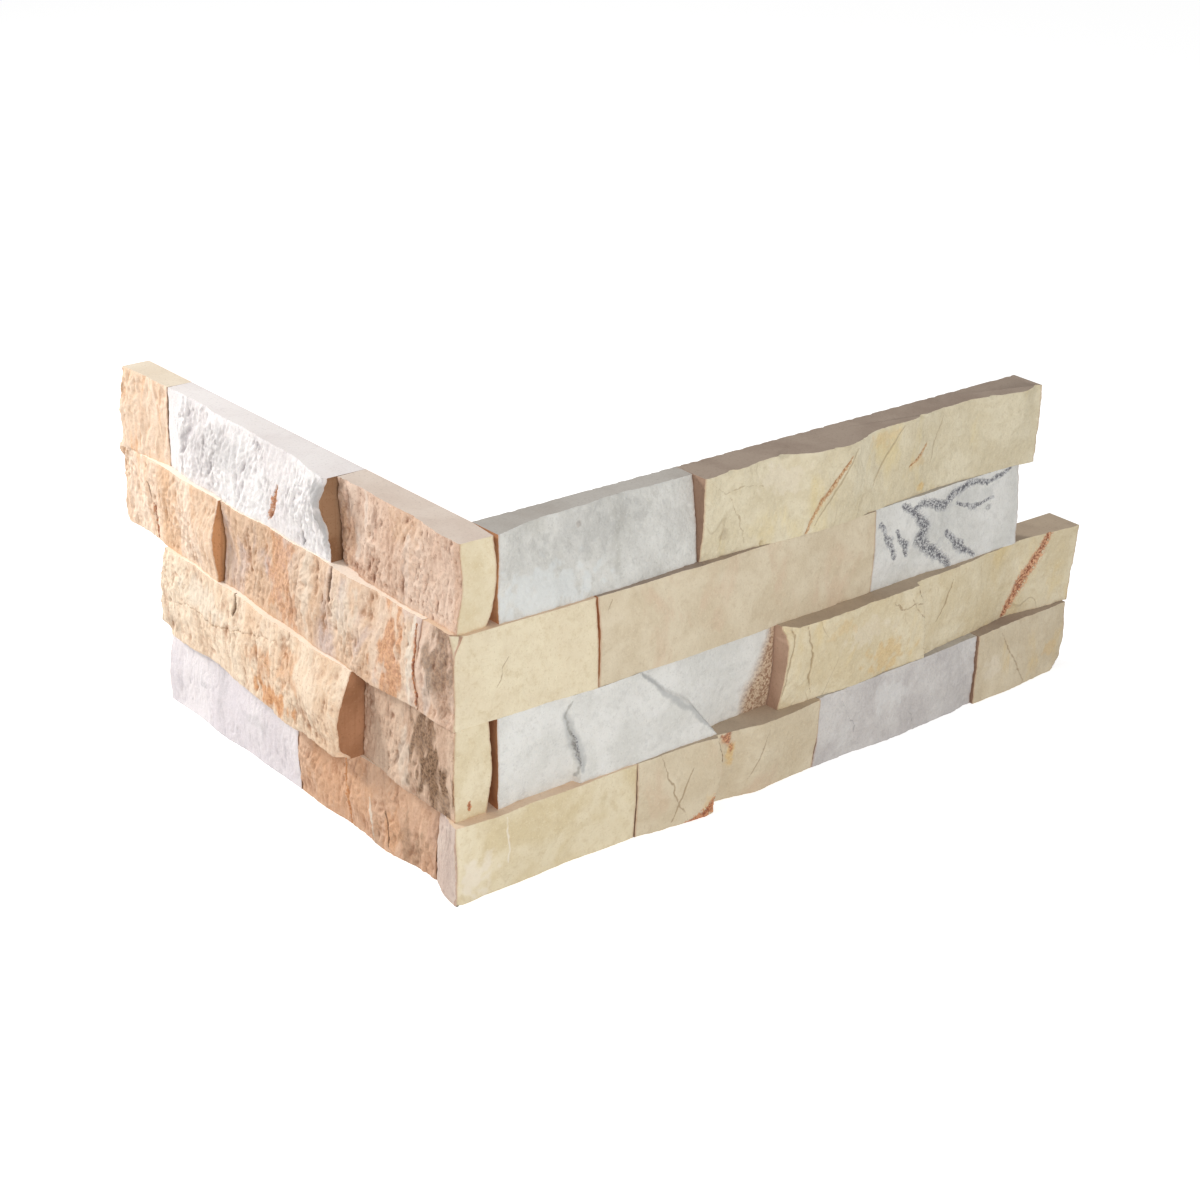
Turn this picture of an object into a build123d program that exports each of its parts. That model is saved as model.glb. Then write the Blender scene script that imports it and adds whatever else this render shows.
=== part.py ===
from build123d import *
import os
from math import pi, radians, sin, tan

os.makedirs("parts", exist_ok=True)

# Ledger stone corner: two wings of riven stone strips in four courses, A on top and D at the foot.
# +X runs along the long wing, +Y along the short wing, +Z up. The origin is the inner corner of
# the sawn backs, at the foot. All sizes are in millimetres, and turns are in degrees.

# Heights of the courses.
height_a = 37.2
height_b = 38.7
height_c = 39.5
height_d = 34.6
bed_d = 0.0
bed_c = bed_d + height_d
bed_b = bed_c + height_c
bed_a = bed_b + height_b
top = bed_a + height_a

# Reach of each course along the long wing, from the inner corner.
long_a = 311.0
long_b = 304.0
long_c = 346.0
long_d = 344.0

# Reach of each course along the short wing, from the inner corner.
short_a = 240.0
short_b = 244.0
short_c = 206.0
short_d = 204.0

# Butt joints along the long wing.
joint_a_long = 105.5
joint_b_long_near = 48.0
joint_b_long_far = 207.5
joint_c_long = 150.0
joint_d_long_near = 68.0
joint_d_long_mid = 173.0
joint_d_long_far = 279.5

# Butt joints along the short wing.
joint_a_short_far = 203.5
joint_a_short_near = 71.0
joint_b_short = 156.0
joint_c_short = 48.0
joint_d_short = 93.0

# Turn of each course's joint at the corner. It starts at the inner corner, and a stone that ends
# there reaches out over the end of the one that laps past it, or at B falls short of it.
turn_a = 0.0
turn_b = -8.0
turn_c = 8.0
turn_d = 16.0

# Thickness of each stone, from its sawn back to its split face.
thick_a_long_1 = 18.0
thick_a_long_2 = 18.0
thick_a_short_1 = 14.0
thick_a_short_2 = 16.0
thick_a_short_3 = 17.0
thick_b_long_1 = 21.0
thick_b_long_2 = 20.0
thick_b_long_3 = 17.0
thick_b_short_1 = 16.0
thick_b_short_2 = 20.0
thick_c_long_1 = 24.0
thick_c_long_2 = 26.0
thick_c_short_1 = 22.0
thick_c_short_2 = 22.0
thick_d_long_1 = 27.0
thick_d_long_2 = 27.0
thick_d_long_3 = 22.0
thick_d_long_4 = 18.0
thick_d_short_1 = 18.0
thick_d_short_2 = 20.0

# How far the end of each corner stone stands out from the back plane of the other wing.
lap_a = 17.0
lap_b = 24.0
lap_c = 22.0
lap_d = 26.0

# Middle of the line where the face of a stone steps back, from the inner corner.
scar_near = 35.5
scar_far = 97.5
fissure_c = 238.0
fissure_d = 112.0

# Thickness of the sawn strip that the stones are split from.
strip = 40.0

# Swell of the split faces: rough on the short wing, near smooth on the long wing.
swell_long = 0.25
swell_short = 0.5
swell_pitch = 42.0

# Share by which a split face bulges between its two arrises.
bulge_long = 1.03
bulge_short = 1.06

# Spacing of the points that a split face is drawn through, and how far a cut overshoots the stone.
face_pitch = 9.0
face_rows = 4
overshoot = 1.0

# The wings seen from outside: local x to the right, local y up, local z outward. Places on the
# short wing are negative, as its stones run from its far end toward the corner.
long_wing = Plane(origin=(0, 0, 0), x_dir=(1, 0, 0), z_dir=(0, -1, 0))
short_wing = Plane(origin=(0, 0, 0), x_dir=(0, -1, 0), z_dir=(-1, 0, 0))


def between(values, share):
    """Value at a share of the way along evenly spaced values."""
    place = min(max(share, 0.0), 1.0) * (len(values) - 1)
    step = min(int(place), len(values) - 2)
    return values[step] + (values[step + 1] - values[step]) * (place - step)


def lean(turn):
    """Sideways run of a turned joint across the thickness of the strip."""
    return strip * tan(radians(turn))


def riven_face(wing, start, end, foot, head, thick, low, high, mid=None):
    """Split face between two places: low, mid and high are its shares of the thickness at the
    lower arris, half-way up and at the upper arris, at even steps along the stone."""
    rough = wing is short_wing
    swell = swell_short if rough else swell_long
    bulge = bulge_short if rough else bulge_long
    columns = max(4, round((end - start) / face_pitch))
    lattice = []
    for i in range(-2, columns + 3):
        across = i / columns
        x = start + (end - start) * across
        shares = [between(low, across), 0.0, between(high, across)]
        shares[1] = between(mid, across) if mid else bulge * (shares[0] + shares[2]) / 2
        line = []
        for j in range(-1, face_rows + 2):
            up = j / face_rows
            y = foot + (head - foot) * up
            z = thick * between(shares, up)
            z += swell * sin(2 * pi * (x + 0.6 * y) / swell_pitch)
            z += 0.6 * swell * sin(2 * pi * (0.9 * y - 0.55 * x) / swell_pitch + 1.0)
            line.append(wing.from_local_coords(Vector(x, y, z)))
        lattice.append(line)
    return Face.make_surface_from_array_of_points(lattice)


def strip_block(wing, outline, foot, head):
    """Piece of sawn strip between two beds: its outline is seen from above, as (x, z) of its wing."""
    plan = Plane(origin=wing.from_local_coords(Vector(0, head, 0)), x_dir=wing.x_dir, z_dir=-wing.y_dir)
    with BuildPart() as block:
        with BuildSketch(plan):
            with BuildLine():
                Polyline(*outline, close=True)
            make_face()
        extrude(amount=head - foot)
    return block.part


def butted_block(wing, start, end, foot, head, start_turn=0.0, end_turn=0.0):
    """Strip between two butt joints, where a turned joint leans outward along the wing."""
    outline = ((start, 0), (end, 0), (end + lean(end_turn), strip), (start + lean(start_turn), strip))
    return strip_block(wing, outline, foot, head)


def crack(place, sway, foot, head):
    """Line of a crack or step from bed to bed: sway gives its shares of the course's height to the
    right of its place, at even steps up the stone."""
    height = head - foot
    points = [(place + sway[i] * height, foot + height * i / (len(sway) - 1)) for i in range(len(sway))]
    points[0] = (points[0][0], foot - overshoot)
    points[-1] = (points[-1][0], head + overshoot)
    return points


def shed_flake(wing, line, edge, face):
    """Flake outside a face, between a crack and the end of the stone that it sprang from."""
    with BuildPart() as flake:
        with BuildSketch(wing):
            with BuildLine():
                Polyline(*line, (edge, line[-1][1]), (edge, line[0][1]), close=True)
            make_face()
        extrude(amount=strip)
        split(bisect_by=face, keep=Keep.TOP)
    return flake.part


def hand_in(name, builder):
    """Name the stone and write it out."""
    builder.part.label = name
    export_step(builder.part, "parts/" + name + ".step")


def plain_stone(name, wing, start, end, foot, head, thick, low, high, mid=None, start_turn=0.0, end_turn=0.0):
    """Stone with sawn ends, sawn beds, a sawn back and a split face."""
    with BuildPart() as stone:
        add(butted_block(wing, start, end, foot, head, start_turn, end_turn))
        split(bisect_by=riven_face(wing, start, end, foot, head, thick, low, high, mid), keep=Keep.BOTTOM)
    hand_in(name, stone)


def corner_stone(name, wing, far, foot, head, turn, thick, low, high, mid, lap, lap_low, lap_high, lap_mid):
    """Stone from its far joint past the inner corner, with its own end split as a face of the other
    wing. The profiles of its long face reach from one end of the uncut strip to the other."""
    past = strip if wing is short_wing else -strip
    other = long_wing if wing is short_wing else short_wing
    outline = ((0, 0), (far, 0), (far, strip), (past, strip), (past, lean(turn)))
    left, right = min(far, past), max(far, past)
    lap_left, lap_right = min(0, -past), max(0, -past)
    with BuildPart() as stone:
        add(strip_block(wing, outline, foot, head))
        split(bisect_by=riven_face(wing, left, right, foot, head, thick, low, high, mid), keep=Keep.BOTTOM)
        end_face = riven_face(other, lap_left, lap_right, foot, head, lap, lap_low, lap_high, lap_mid)
        split(bisect_by=end_face, keep=Keep.BOTTOM)
    hand_in(name, stone)


# Course A, long wing.
plain_stone(
    "a_long_1", long_wing, 0.0, joint_a_long, bed_a, top, thick_a_long_1,
    low=(1.02, 1.03, 1.01, 0.89),
    high=(0.92, 0.66, 0.64, 0.58, 0.58, 0.61),
    start_turn=-turn_a,
)
plain_stone(
    "a_long_2", long_wing, joint_a_long, long_a, bed_a, top, thick_a_long_2,
    low=(0.92, 1.04, 1.18, 1.02, 0.80, 0.82, 0.92),
    high=(1.03, 0.97, 0.85, 1.24, 1.33, 0.89, 0.93, 0.73, 0.73, 1.0, 0.97),
)

# Course B, long wing.
plain_stone(
    "b_long_2", long_wing, joint_b_long_near, joint_b_long_far, bed_b, bed_a, thick_b_long_2,
    low=(1.14, 1.12, 1.0, 0.92),
    high=(1.02, 1.02, 0.97, 0.94),
)
plain_stone(
    "b_long_3", long_wing, joint_b_long_far, long_b, bed_b, bed_a, thick_b_long_3,
    low=(1.05, 1.02, 1.04, 0.97),
    high=(1.06, 0.97, 0.89, 0.86),
)

# Course D, long wing.
plain_stone(
    "d_long_3", long_wing, joint_d_long_mid, joint_d_long_far, bed_d, bed_c, thick_d_long_3,
    low=(1.05, 1.05, 1.03, 0.89),
    high=(1.14, 1.07, 1.0, 0.9),
)
plain_stone(
    "d_long_4", long_wing, joint_d_long_far, long_d, bed_d, bed_c, thick_d_long_4,
    low=(1.17, 1.08, 0.93),
    high=(1.14, 1.03, 0.98),
)

# Course A, short wing.
plain_stone(
    "a_short_1", short_wing, -short_a, -joint_a_short_far, bed_a, top, thick_a_short_1,
    low=(1.11, 0.9),
    high=(1.0, 0.88),
)
plain_stone(
    "a_short_2", short_wing, -joint_a_short_far, -joint_a_short_near, bed_a, top, thick_a_short_2,
    low=(0.79, 1.05, 1.05, 1.19),
    high=(0.78, 0.85, 0.95, 1.28),
)

# Course B, short wing.
plain_stone(
    "b_short_1", short_wing, -short_b, -joint_b_short, bed_b, bed_a, thick_b_short_1,
    low=(0.69, 0.81, 0.95, 1.12),
    high=(0.83, 0.97, 1.06, 1.18),
    mid=(0.75, 0.92, 1.08, 1.29),
)
plain_stone(
    "b_short_2", short_wing, -joint_b_short, 0.0, bed_b, bed_a, thick_b_short_2,
    low=(0.8, 0.93, 1.11, 1.22, 1.2),
    high=(0.88, 0.88, 0.97, 1.02, 1.08),
    mid=(0.73, 0.92, 1.1, 1.18, 1.16),
    end_turn=turn_b,
)

# Course C, short wing: its thick end flares out low down.
plain_stone(
    "c_short_1", short_wing, -short_c, -joint_c_short, bed_c, bed_b, thick_c_short_1,
    low=(0.86, 0.83, 1.05, 1.25, 1.36),
    high=(0.7, 0.82, 0.93, 1.09, 1.12),
    mid=(0.86, 0.89, 1.07, 1.28, 1.43),
)

# Course D, short wing.
plain_stone(
    "d_short_1", short_wing, -short_d, -joint_d_short, bed_d, bed_c, thick_d_short_1,
    low=(0.87, 0.99, 1.07),
    high=(0.79, 0.95, 1.09),
)
plain_stone(
    "d_short_2", short_wing, -joint_d_short, 0.0, bed_d, bed_c, thick_d_short_2,
    low=(0.96, 0.97, 1.04, 1.1, 0.98),
    high=(0.98, 0.98, 1.0, 0.98, 0.88),
    end_turn=turn_d,
)

# Stones that lap past the corner. Those of A and C belong to the short wing and show a smooth end
# on the long wing. Those of B and D belong to the long wing and show a rough end on the short wing.
corner_stone(
    "a_short_3", short_wing, -joint_a_short_near, bed_a, top, turn_a, thick_a_short_3,
    low=(0.71, 1.06, 1.12, 1.15, 1.15),
    high=(0.84, 0.86, 0.96, 1.04, 1.04),
    mid=(0.77, 0.98, 1.06, 1.02, 1.02),
    lap=lap_a, lap_low=(1.02, 1.0), lap_high=(0.98, 0.96), lap_mid=None,
)
corner_stone(
    "c_short_2", short_wing, -joint_c_short, bed_c, bed_b, turn_c, thick_c_short_2,
    low=(0.82, 1.0, 1.09, 1.1),
    high=(0.8, 0.95, 1.06, 1.1),
    mid=(0.83, 1.0, 1.1, 1.13),
    lap=lap_c, lap_low=(1.03, 1.01), lap_high=(1.0, 0.98), lap_mid=None,
)
corner_stone(
    "b_long_1", long_wing, joint_b_long_near, bed_b, bed_a, turn_b, thick_b_long_1,
    low=(1.02, 1.04, 1.1),
    high=(0.92, 0.94, 0.97),
    mid=None,
    lap=lap_b, lap_low=(1.0, 1.03), lap_high=(0.9, 0.94), lap_mid=(1.0, 1.02),
)
corner_stone(
    "d_long_1", long_wing, joint_d_long_near, bed_d, bed_c, turn_d, thick_d_long_1,
    low=(1.04, 1.0, 0.95, 0.94),
    high=(0.97, 1.04, 1.0, 0.97),
    mid=None,
    lap=lap_d, lap_low=(0.66, 0.99, 1.14), lap_high=(0.66, 0.97, 1.1), lap_mid=(0.66, 0.97, 1.1),
)

# Course C, long wing, marble: shell-shaped scars at both ends leave its middle standing out.
with BuildPart() as c_long_1:
    add(butted_block(long_wing, 0.0, joint_c_long, bed_c, bed_b, start_turn=-turn_c))
    middle = riven_face(
        long_wing, 0.0, joint_c_long, bed_c, bed_b, thick_c_long_1,
        low=(1.06, 1.06, 1.03, 1.0),
        high=(0.96, 0.95, 0.93, 0.9),
    )
    split(bisect_by=middle, keep=Keep.BOTTOM)
    near_floor = riven_face(
        long_wing, 0.0, joint_c_long, bed_c, bed_b, thick_c_long_1,
        low=(0.98, 0.86, 0.82, 0.8),
        high=(0.92, 0.89, 0.87, 0.85),
    )
    near_crack = crack(scar_near, (0.05, 0.05, -0.01, -0.06, -0.03), bed_c, bed_b)
    add(shed_flake(long_wing, near_crack, -lean(turn_c) - overshoot, near_floor), mode=Mode.SUBTRACT)
    far_floor = riven_face(
        long_wing, 0.0, joint_c_long, bed_c, bed_b, thick_c_long_1,
        low=(1.0, 1.0, 0.97, 0.88, 0.7, 0.66),
        high=(0.92, 0.91, 0.9, 0.88, 0.83, 0.78),
    )
    far_crack = crack(scar_far, (0.45, 0.22, 0.0, -0.38, -0.7), bed_c, bed_b)
    add(shed_flake(long_wing, far_crack, joint_c_long + overshoot, far_floor), mode=Mode.SUBTRACT)
hand_in("c_long_1", c_long_1)

# Course C, long wing, limestone: it stands well out, and steps back at a natural fissure.
with BuildPart() as c_long_2:
    add(butted_block(long_wing, joint_c_long, long_c, bed_c, bed_b))
    proud = riven_face(
        long_wing, joint_c_long, long_c, bed_c, bed_b, thick_c_long_2,
        low=(0.86, 0.93, 0.85, 0.82, 0.75, 0.7),
        high=(1.1, 1.07, 1.01, 0.95, 0.85, 0.8),
    )
    split(bisect_by=proud, keep=Keep.BOTTOM)
    set_back = riven_face(
        long_wing, joint_c_long, long_c, bed_c, bed_b, thick_c_long_2,
        low=(0.82, 0.82, 0.8, 0.64, 0.46, 0.61),
        high=(0.89, 0.89, 0.9, 0.78, 0.6, 0.72),
    )
    open_fissure = crack(fissure_c, (0.13, 0.07, 0.01, -0.04, -0.16), bed_c, bed_b)
    add(shed_flake(long_wing, open_fissure, long_c + overshoot, set_back), mode=Mode.SUBTRACT)
hand_in("c_long_2", c_long_2)

# Course D, long wing, limestone: a rusty fissure runs through it, and its right part has sprung back.
with BuildPart() as d_long_2:
    add(butted_block(long_wing, joint_d_long_near, joint_d_long_mid, bed_d, bed_c))
    proud = riven_face(
        long_wing, joint_d_long_near, joint_d_long_mid, bed_d, bed_c, thick_d_long_2,
        low=(0.96, 1.1, 1.08, 1.07),
        high=(0.97, 0.99, 1.13, 1.09),
    )
    split(bisect_by=proud, keep=Keep.BOTTOM)
    set_back = riven_face(
        long_wing, joint_d_long_near, joint_d_long_mid, bed_d, bed_c, thick_d_long_2,
        low=(0.74, 0.74, 0.93, 0.86),
        high=(0.87, 0.87, 1.1, 0.98),
    )
    rusty_fissure = crack(fissure_d, (-0.06, -0.01, 0.06, 0.08, 0.0), bed_d, bed_c)
    add(shed_flake(long_wing, rusty_fissure, joint_d_long_mid + overshoot, set_back), mode=Mode.SUBTRACT)
hand_in("d_long_2", d_long_2)
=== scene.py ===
import math

import bpy
import numpy as np
from mathutils import Matrix, Vector
from mathutils.bvhtree import BVHTree

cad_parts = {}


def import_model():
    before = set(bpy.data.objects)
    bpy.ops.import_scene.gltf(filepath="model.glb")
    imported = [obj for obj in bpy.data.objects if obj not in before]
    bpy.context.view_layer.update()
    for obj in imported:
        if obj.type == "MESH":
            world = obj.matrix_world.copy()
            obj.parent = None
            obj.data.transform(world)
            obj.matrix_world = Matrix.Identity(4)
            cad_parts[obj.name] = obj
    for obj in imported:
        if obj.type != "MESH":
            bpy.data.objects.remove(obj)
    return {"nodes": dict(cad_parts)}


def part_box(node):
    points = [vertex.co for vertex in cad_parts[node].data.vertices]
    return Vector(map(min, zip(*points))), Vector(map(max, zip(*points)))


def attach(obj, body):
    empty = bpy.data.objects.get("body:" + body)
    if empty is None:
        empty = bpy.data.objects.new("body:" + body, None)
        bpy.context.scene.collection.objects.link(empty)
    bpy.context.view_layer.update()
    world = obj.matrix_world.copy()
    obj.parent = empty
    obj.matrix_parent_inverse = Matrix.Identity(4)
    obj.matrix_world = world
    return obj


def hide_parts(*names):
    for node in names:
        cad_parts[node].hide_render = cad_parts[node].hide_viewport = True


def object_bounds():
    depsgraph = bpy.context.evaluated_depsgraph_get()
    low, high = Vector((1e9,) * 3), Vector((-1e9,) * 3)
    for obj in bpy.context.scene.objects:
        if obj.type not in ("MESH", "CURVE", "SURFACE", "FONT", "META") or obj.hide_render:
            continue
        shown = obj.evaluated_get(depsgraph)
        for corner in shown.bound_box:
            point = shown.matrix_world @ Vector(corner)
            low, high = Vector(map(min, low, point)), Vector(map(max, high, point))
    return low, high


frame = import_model()
cad_lo, cad_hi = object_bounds()

MM = 0.001
STEP = {"short": 0.45, "long": 0.55}  # spacing of the relief grid, mm
SAWN_STEP = 6.0  # spacing of the columns on sawn faces, mm
NICKED_STEP = 1.6  # the same on a back whose top arris is nicked, mm
WEAR = {"short": 0.8, "long": 0.55}  # depth worn off the arrises of a wing's stones, mm
JOINT = 0.15  # least opening beside an end, mm
JOINT_WANDER = 0.2  # what its own waver adds, mm
SKIN = 0.02  # how far inside its beds a stone's depth is read, mm
CREASE = math.radians(48)  # edges sharper than this stay sharp
LINE_REACH = 5.0  # widths of a line over which its mark fades to nothing
LIMIT = {"long": -cad_lo.y / MM, "short": -cad_lo.x / MM}  # no face stands out further, mm


# Smooth noise, worked out for whole arrays at once.
def lattice(i, j, k, seed):
    h = i * 73856093 ^ j * 19349663 ^ k * 83492791 ^ (seed * 2654435761)
    h = (h ^ (h >> 13)) * 1274126177 & 0xFFFFFFFF
    h = (h ^ (h >> 16)) * 2246822519 & 0xFFFFFFFF
    return (h ^ (h >> 15)) & 0xFFFF


def noise(x, y, z, seed=0):
    """Gradient noise, about -1 to 1."""
    x, y, z = np.broadcast_arrays(x, y, z)
    fx, fy, fz = np.floor(x), np.floor(y), np.floor(z)
    i, j, k = fx.astype(np.int64), fy.astype(np.int64), fz.astype(np.int64)
    x, y, z = x - fx, y - fy, z - fz
    wx, wy, wz = (t * t * t * (t * (t * 6 - 15) + 10) for t in (x, y, z))
    total = 0.0
    for a in (0, 1):
        for b in (0, 1):
            for c in (0, 1):
                h = lattice(i + a, j + b, k + c, seed)
                turn = h * (2 * np.pi / 65536.0)
                lift = ((h * 31) & 0xFFFF) / 32768.0 - 1.0
                flat = np.sqrt(1 - lift * lift)
                slope = flat * np.cos(turn) * (x - a) + flat * np.sin(turn) * (y - b) + lift * (z - c)
                w = (wx if a else 1 - wx) * (wy if b else 1 - wy) * (wz if c else 1 - wz)
                total = total + w * slope
    return total * 1.6


def fractal(x, y, z, octaves, seed=0):
    total, size = 0.0, 1.0
    for n in range(octaves):
        total = total + size * noise(x * 2**n, y * 2**n, z * 2**n, seed + 17 * n)
        size *= 0.5
    return total


def crests(x, y, z, octaves, seed=0):
    """Noise with sharp crests between round hollows."""
    total, size = 0.0, 1.0
    for n in range(octaves):
        total = total + size * (0.5 - 1.8 * np.abs(noise(x * 2**n, y * 2**n, z * 2**n, seed + 17 * n)))
        size *= 0.5
    return total


def step(lo, hi, v):
    t = np.clip((v - lo) / (hi - lo), 0, 1)
    return t * t * (3 - 2 * t)


def soften(grid):
    """Average of each value with its neighbours along both sides of the grid."""
    for axis in (0, 1):
        wide = np.concatenate([grid.take([0], axis), grid, grid.take([-1], axis)], axis)
        count = grid.shape[axis]
        ahead, here, behind = (wide.take(range(n, n + count), axis) for n in (2, 1, 0))
        grid = 0.25 * ahead + 0.5 * here + 0.25 * behind
    return grid


def to_line(u, z, points):
    """Distance in mm from each (u, z) to a line of points, and the share along it."""
    best = np.full(np.shape(u), 1e9)
    where = np.zeros(np.shape(u))
    count = len(points) - 1
    for n in range(count):
        (u0, z0), (u1, z1) = points[n], points[n + 1]
        length = (u1 - u0) ** 2 + (z1 - z0) ** 2 + 1e-9
        t = np.clip(((u - u0) * (u1 - u0) + (z - z0) * (z1 - z0)) / length, 0, 1)
        d = np.hypot(u - u0 - t * (u1 - u0), z - z0 - t * (z1 - z0))
        near = d < best
        best = np.where(near, d, best)
        where = np.where(near, (n + t) / count, where)
    return best, where


# Relief of the two kinds of face, in mm outward, from places in mm.
def split_relief(u, z, d, seed, tilt):
    """Hammer-split face: upright crests between scallops, and grain."""
    lean = u + tilt * z + 2.4 * noise(u / 12.0, z / 14.0, 0.4, seed + 1)
    big = crests(lean / 12.0, z / 30.0, d / 30.0, 1, seed + 2)
    middle = crests(lean / 5.4, z / 12.0, d / 20.0, 2, seed + 3)
    fine = crests(lean / 2.6, z / 4.2, d / 9.0, 2, seed + 5)
    chips = np.clip(noise(lean / 2.1, z / 3.2, d / 6.0, seed + 7), 0, 1)
    grain = fractal(lean / 1.4, z / 1.8, d / 4.0, 2, seed + 9)
    return 0.7 * big + 0.66 * middle + 0.42 * fine - 0.55 * chips + 0.14 * grain + 0.1


def cleft_relief(u, z, d, seed, tilt):
    """Natural cleft face: near flat, faint swell, small dents, sugary grain."""
    swell = noise(u / 34.0 + tilt, z / 22.0, d / 25.0, seed)
    plates = crests(u / 19.0, z / 15.0, d / 25.0, 2, seed + 2)
    dents = fractal(u / 6.0, z / 6.0, d / 7.0, 2, seed + 4)
    grain = fractal(u / 1.5, z / 1.5, d / 1.7, 2, seed + 8)
    return 0.28 * swell + 0.16 * plates + 0.16 * dents + 0.085 * grain


def ragged(along, seed, size):
    """Depth in mm that has flaked off along an arris."""
    bites = np.clip(noise(along / 10.0, seed * 3.7, 0.5, seed + 21) - 0.15, 0, 1)
    nicks = np.clip(noise(along / 2.4, seed * 1.3, 0.5, seed + 22), 0, 1)
    return size * (0.12 + 1.2 * bites + 0.5 * nicks)


def worn(loss, edge):
    """The part of that depth lost at a distance from the arris."""
    return loss * (1 - np.clip(edge / (0.45 + 1.7 * loss), 0, 1)) ** 1.4


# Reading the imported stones.
def wing_of(node):
    return "short" if "_short_" in node else "long"


def tree_of(node):
    mesh = frame["nodes"][node].data
    return BVHTree.FromPolygons([v.co for v in mesh.vertices], [p.vertices for p in mesh.polygons])


def depth_at(tree, wing, u, z):
    """Thickness of the stone at a place along its wing and a height, all in mm."""
    if wing == "long":
        hit = tree.ray_cast(Vector((u * MM, -0.2, z * MM)), Vector((0, 1, 0)))
        return -hit[0].y / MM if hit[0] else None
    hit = tree.ray_cast(Vector((-0.2, u * MM, z * MM)), Vector((1, 0, 0)))
    return -hit[0].x / MM if hit[0] else None


def depth_grid(tree, wing, us, zs):
    """Thicknesses on a grid of (rows, columns); a miss takes its neighbour's value."""
    rows, columns = us.shape
    out = np.full((rows, columns), np.nan)
    for r in range(rows):
        last = np.nan
        for c in range(columns):
            d = depth_at(tree, wing, us[r, c], zs[r, c])
            last = last if d is None else d
            out[r, c] = last
        good = np.flatnonzero(~np.isnan(out[r]))
        out[r, : good[0]] = out[r, good[0]]
    return out


def outer_line(node, levels, toward):
    """Point (x, y) in mm of the stone's section that lies furthest in a direction, at each height."""
    mesh = frame["nodes"][node].data
    co = np.zeros(len(mesh.vertices) * 3)
    mesh.vertices.foreach_get("co", co)
    co = co.reshape(-1, 3) / MM
    edges = np.zeros(len(mesh.edges) * 2, np.int64)
    mesh.edges.foreach_get("vertices", edges)
    a, b = co[edges[0::2]], co[edges[1::2]]
    out = []
    for level in levels:
        cut = (a[:, 2] - level) * (b[:, 2] - level) <= 0
        p, q = a[cut], b[cut]
        rise = q[:, 2] - p[:, 2]
        t = (level - p[:, 2]) / np.where(np.abs(rise) < 1e-9, 1e-9, rise)
        s = p + (q - p) * np.clip(t, 0, 1)[:, None]
        out.append(s[np.argmax(s[:, :2] @ np.array(toward)), :2])
    return np.array(out)


def world(wing, u, d, z):
    """Points in mm from places along a wing, depths and heights."""
    return np.stack([u, -d, z], -1) if wing == "long" else np.stack([-d, u, z], -1)


def build_piece(name, loops, kinds, extra):
    """Closed mesh from a stack of loops. kinds gives each column's material; two beds close it."""
    rows, columns = loops.shape[:2]
    faces, slots = [], []
    for r in range(rows - 1):
        for c in range(columns):
            n = (c + 1) % columns
            faces.append((r * columns + c, r * columns + n, (r + 1) * columns + n, (r + 1) * columns + c))
            slots.append(kinds[c])
    faces.append(tuple(range(columns))[::-1])
    faces.append(tuple((rows - 1) * columns + c for c in range(columns)))
    slots += [BED, BED]
    mesh = bpy.data.meshes.new(name)
    mesh.from_pydata((loops.reshape(-1, 3) * MM).tolist(), [], faces)
    mesh.polygons.foreach_set("material_index", slots)
    for key, values in extra.items():
        layer = mesh.attributes.new(key, "FLOAT", "POINT")
        layer.data.foreach_set("value", values.reshape(-1).astype(np.float32))
    mesh.update()
    mesh.polygons.foreach_set("use_smooth", [True] * len(faces))
    piece = bpy.data.objects.new(name, mesh)
    bpy.context.scene.collection.objects.link(piece)
    mesh.set_sharp_from_angle(angle=CREASE)
    return piece


FACE, BED, END, LAP = range(4)

# Marks of a face in the order they are laid: how much each covers, and one colour or two that crumble
# into each other. A look can give its own colours, as its "pale_mark" and so on.
PAINTS = {
    "pale": (0.8, (240, 230, 214)),
    "orange": (0.8, ((228, 172, 120), (206, 138, 88))),
    "ash": (0.9, ((148, 116, 88), (94, 68, 48))),
    # shade is painted shade where a face turns away from the lamps or steps back; on white marble it also
    # lays grey clouding.
    "shade": (0.6, (146, 145, 144)),
    "sand": (0.95, ((206, 182, 154), (150, 114, 88))),
    "crystal": (0.92, ((88, 88, 97), (204, 204, 204))),
    "rust": (0.9, ((140, 62, 32), (212, 150, 108))),
    "crack": (0.6, (150, 122, 90)),
}
FRAYED = ("orange", "crystal", "rust")  # kinds whose lines have crumbling edges
LINE_EDGE = (0.66, 0.9)  # where on its fading mark a line begins and is full
LINE_EDGES = {"shade": (0.4, 0.9), "sand": (0.5, 0.9), **{kind: (0.64, 0.8) for kind in FRAYED}}
MARKS = tuple(PAINTS) + tuple(kind + "_line" for kind in PAINTS) + ("crest", "rim")


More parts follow.
